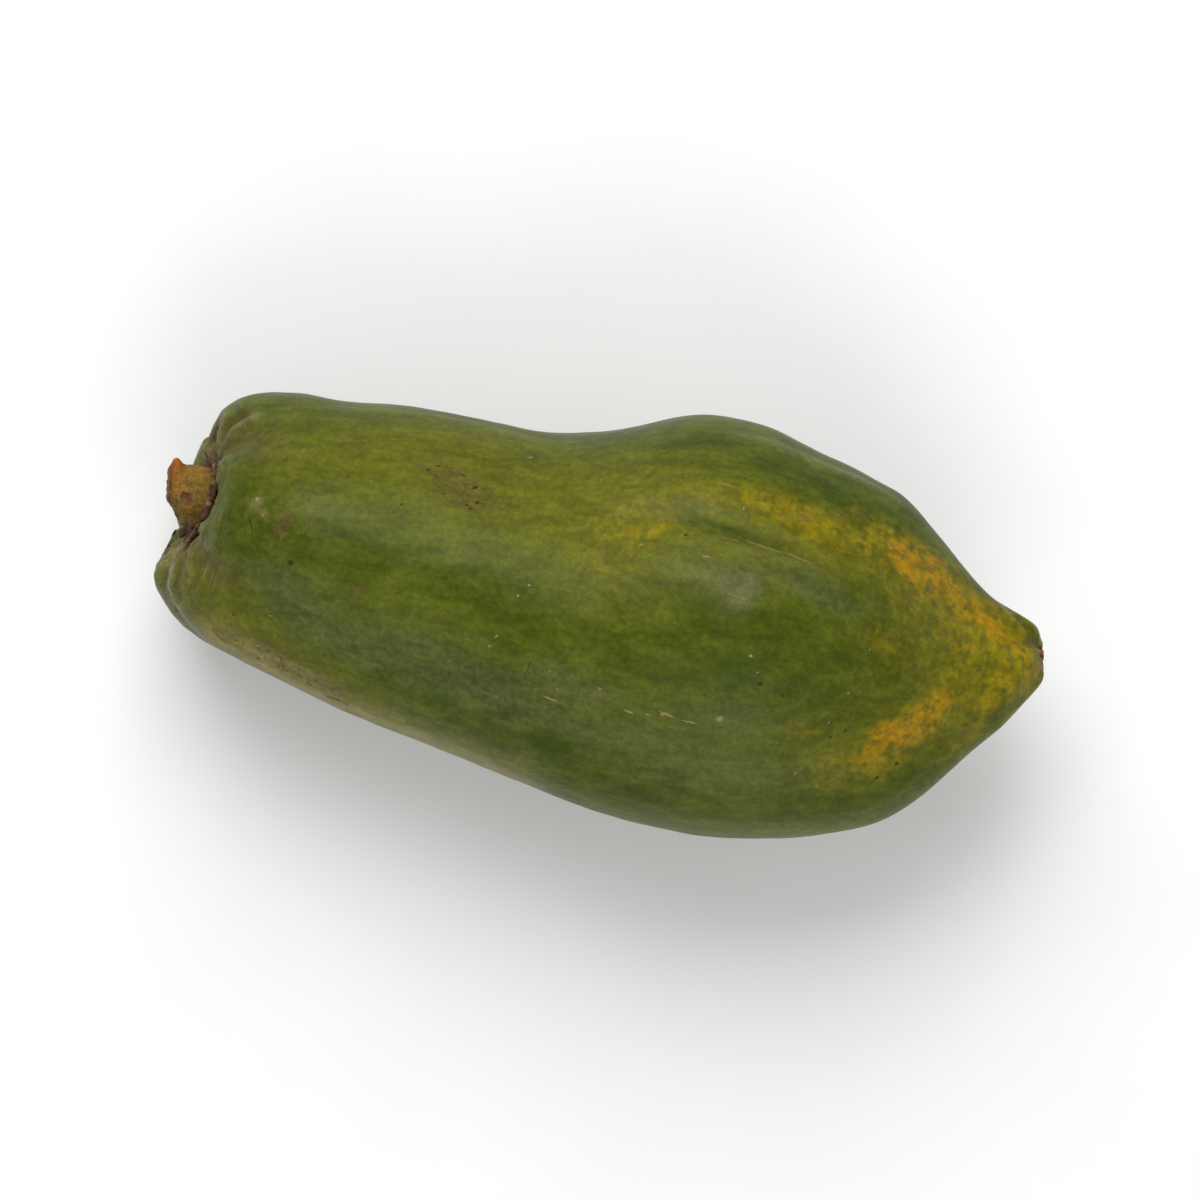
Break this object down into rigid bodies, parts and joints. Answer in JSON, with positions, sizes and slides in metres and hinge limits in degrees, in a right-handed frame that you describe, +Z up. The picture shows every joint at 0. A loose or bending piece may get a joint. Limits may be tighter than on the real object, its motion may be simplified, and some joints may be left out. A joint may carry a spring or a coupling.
{
  "type": "papaya",
  "caption": "Whole elongated papaya lying on its side, green turning yellow, with the stub of its stalk, the withered calyx and the flower scar.",
  "frame": {"origin": "bottom centre of the whole fruit's box, on the surface that it rests on", "axes": "+X from the stalk to the flower end, +Y to the fruit's back, +Z up, towards the side that the picture shows"},
  "size_m": [0.3034, 0.14, 0.1299],
  "materials": {
    "skin": "smooth waxy green skin, yellow and orange towards the flower end, with pale bloom, brown specks and corky scratches",
    "stalk_bark": "dull tan and orange-brown stalk with a round brown branch scar and a dry cut end",
    "calyx_brown": "dry, withered, dark purple-brown",
    "scar_red": "dried red-orange remnant with a dark middle"
  },
  "bodies": {
    "root": {"fruit": "skin", "stalk": "stalk_bark", "calyx": "calyx_brown", "flower_scar": "scar_red"}
  },
  "joints": []
}
